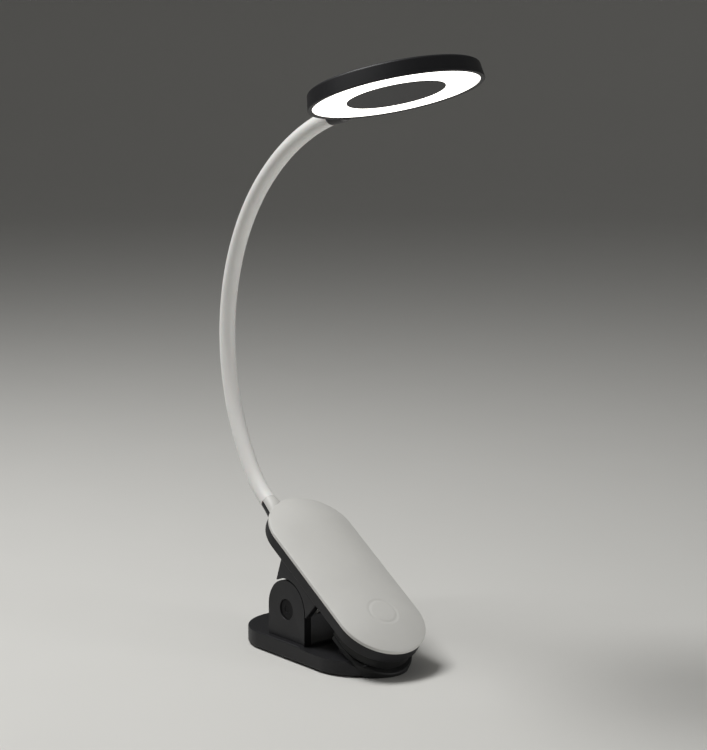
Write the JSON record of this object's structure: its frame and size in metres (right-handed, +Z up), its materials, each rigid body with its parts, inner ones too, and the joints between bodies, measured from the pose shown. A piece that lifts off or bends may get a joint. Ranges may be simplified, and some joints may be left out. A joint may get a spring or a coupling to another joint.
{
  "type": "clip-on reading lamp",
  "caption": "Clip-on reading lamp: a sprung clip with a slim battery lever, a bendable gooseneck and a round ring-light head.",
  "frame": {"origin": "on the resting face of the lower jaw, straight under the jaw hinge", "axes": "+Z up, +X towards the jaw tips, Y along the hinge pin"},
  "size_m": [0.193, 0.0888, 0.3209],
  "materials": {
    "charcoal_shell": "fine moulded texture",
    "charcoal_caps": "satin",
    "grey_cover": "fine moulded matte",
    "grip_rubber": "matte",
    "neck_silicone": "smooth satin",
    "steel": "satin",
    "spring_steel": "drawn wire",
    "diffuser_lit": "frosted, lit from behind",
    "white_reflector": "satin white",
    "board_white": "solder mask",
    "board_green": "solder mask",
    "chip_black": "moulded",
    "led_phosphor": "phosphor",
    "battery_foil": "foil pouch",
    "lead_insulation": "wire insulation",
    "copper_plate": "bare copper"
  },
  "bodies": {
    "lower_jaw": {"lower_jaw_base": "charcoal_shell", "base_bottom_plate": "charcoal_shell", "base_foot_pad": "grip_rubber", "base_screws": "steel", "lower_jaw_pad": "grip_rubber", "hinge_pin": "steel", "hinge_pin_caps": "charcoal_caps", "torsion_spring_coil": "spring_steel"},
    "lever": {"lever_shell": "charcoal_shell", "top_cover": "grey_cover", "upper_jaw_pad": "grip_rubber", "lever_screws": "steel", "charging_socket": "steel", "circuit_board": "board_green", "circuit_board_chips": "chip_black", "battery_cell": "battery_foil", "battery_leads": "lead_insulation", "touch_plate": "copper_plate", "neck_clamp": "steel", "torsion_spring_leg": "spring_steel", "neck_sleeve_0": "neck_silicone", "neck_core_0": "steel", "neck_leads_0": "lead_insulation"},
    "neck_link_1": {"neck_sleeve_1": "neck_silicone", "neck_core_1": "steel", "neck_leads_1": "lead_insulation"},
    "neck_link_2": {"neck_sleeve_2": "neck_silicone", "neck_core_2": "steel", "neck_leads_2": "lead_insulation"},
    "neck_link_3": {"neck_sleeve_3": "neck_silicone", "neck_core_3": "steel", "neck_leads_3": "lead_insulation"},
    "neck_link_4": {"neck_sleeve_4": "neck_silicone", "neck_core_4": "steel", "neck_leads_4": "lead_insulation"},
    "neck_link_5": {"neck_sleeve_5": "neck_silicone", "neck_core_5": "steel", "neck_leads_5": "lead_insulation"},
    "neck_link_6": {"neck_sleeve_6": "neck_silicone", "neck_core_6": "steel", "neck_leads_6": "lead_insulation"},
    "head": {"neck_sleeve_7": "neck_silicone", "neck_core_7": "steel", "neck_leads_7": "lead_insulation", "head_housing": "charcoal_shell", "head_collar": "charcoal_shell", "diffuser_ring": "diffuser_lit", "head_centre_disc": "charcoal_shell", "reflector_ring": "white_reflector", "led_board": "board_white", "led_chips": "led_phosphor", "head_leads": "lead_insulation", "head_screws": "steel"}
  },
  "joints": [
    {"name": "jaw_hinge", "type": "hinge", "parent": "lower_jaw", "child": "lever", "pos_m": [0, 0, 0.0263], "axis": [0, -1, 0], "range_deg": [0, 40], "stiffness_Nm_per_rad": 0.9, "springref_deg": -40.11},
    {"name": "neck_bend_1", "type": "hinge", "parent": "lever", "child": "neck_link_1", "pos_m": [-0.04845, -0.01, 0.09039], "axis": [0, -1, 0], "range_deg": [-24, 24]},
    {"name": "neck_sway_2", "type": "hinge", "parent": "neck_link_1", "child": "neck_link_2", "pos_m": [-0.06571, -0.01, 0.12408], "axis": [-0.9484, 0, -0.3171], "range_deg": [-24, 24]},
    {"name": "neck_bend_3", "type": "hinge", "parent": "neck_link_2", "child": "neck_link_3", "pos_m": [-0.07218, -0.01, 0.16138], "axis": [0, -1, 0], "range_deg": [-24, 24]},
    {"name": "neck_sway_4", "type": "hinge", "parent": "neck_link_3", "child": "neck_link_4", "pos_m": [-0.06729, -0.01, 0.19892], "axis": [-0.9609, 0, 0.2768], "range_deg": [-24, 24]},
    {"name": "neck_bend_5", "type": "hinge", "parent": "neck_link_4", "child": "neck_link_5", "pos_m": [-0.05147, -0.01, 0.23331], "axis": [0, -1, 0], "range_deg": [-24, 24]},
    {"name": "neck_sway_6", "type": "hinge", "parent": "neck_link_5", "child": "neck_link_6", "pos_m": [-0.02619, -0.01, 0.2615], "axis": [-0.6428, 0, 0.766], "range_deg": [-24, 24]},
    {"name": "neck_bend_7", "type": "hinge", "parent": "neck_link_6", "child": "head", "pos_m": [0.00585, -0.01, 0.2817], "axis": [0, -1, 0], "range_deg": [-24, 24]}
  ]
}
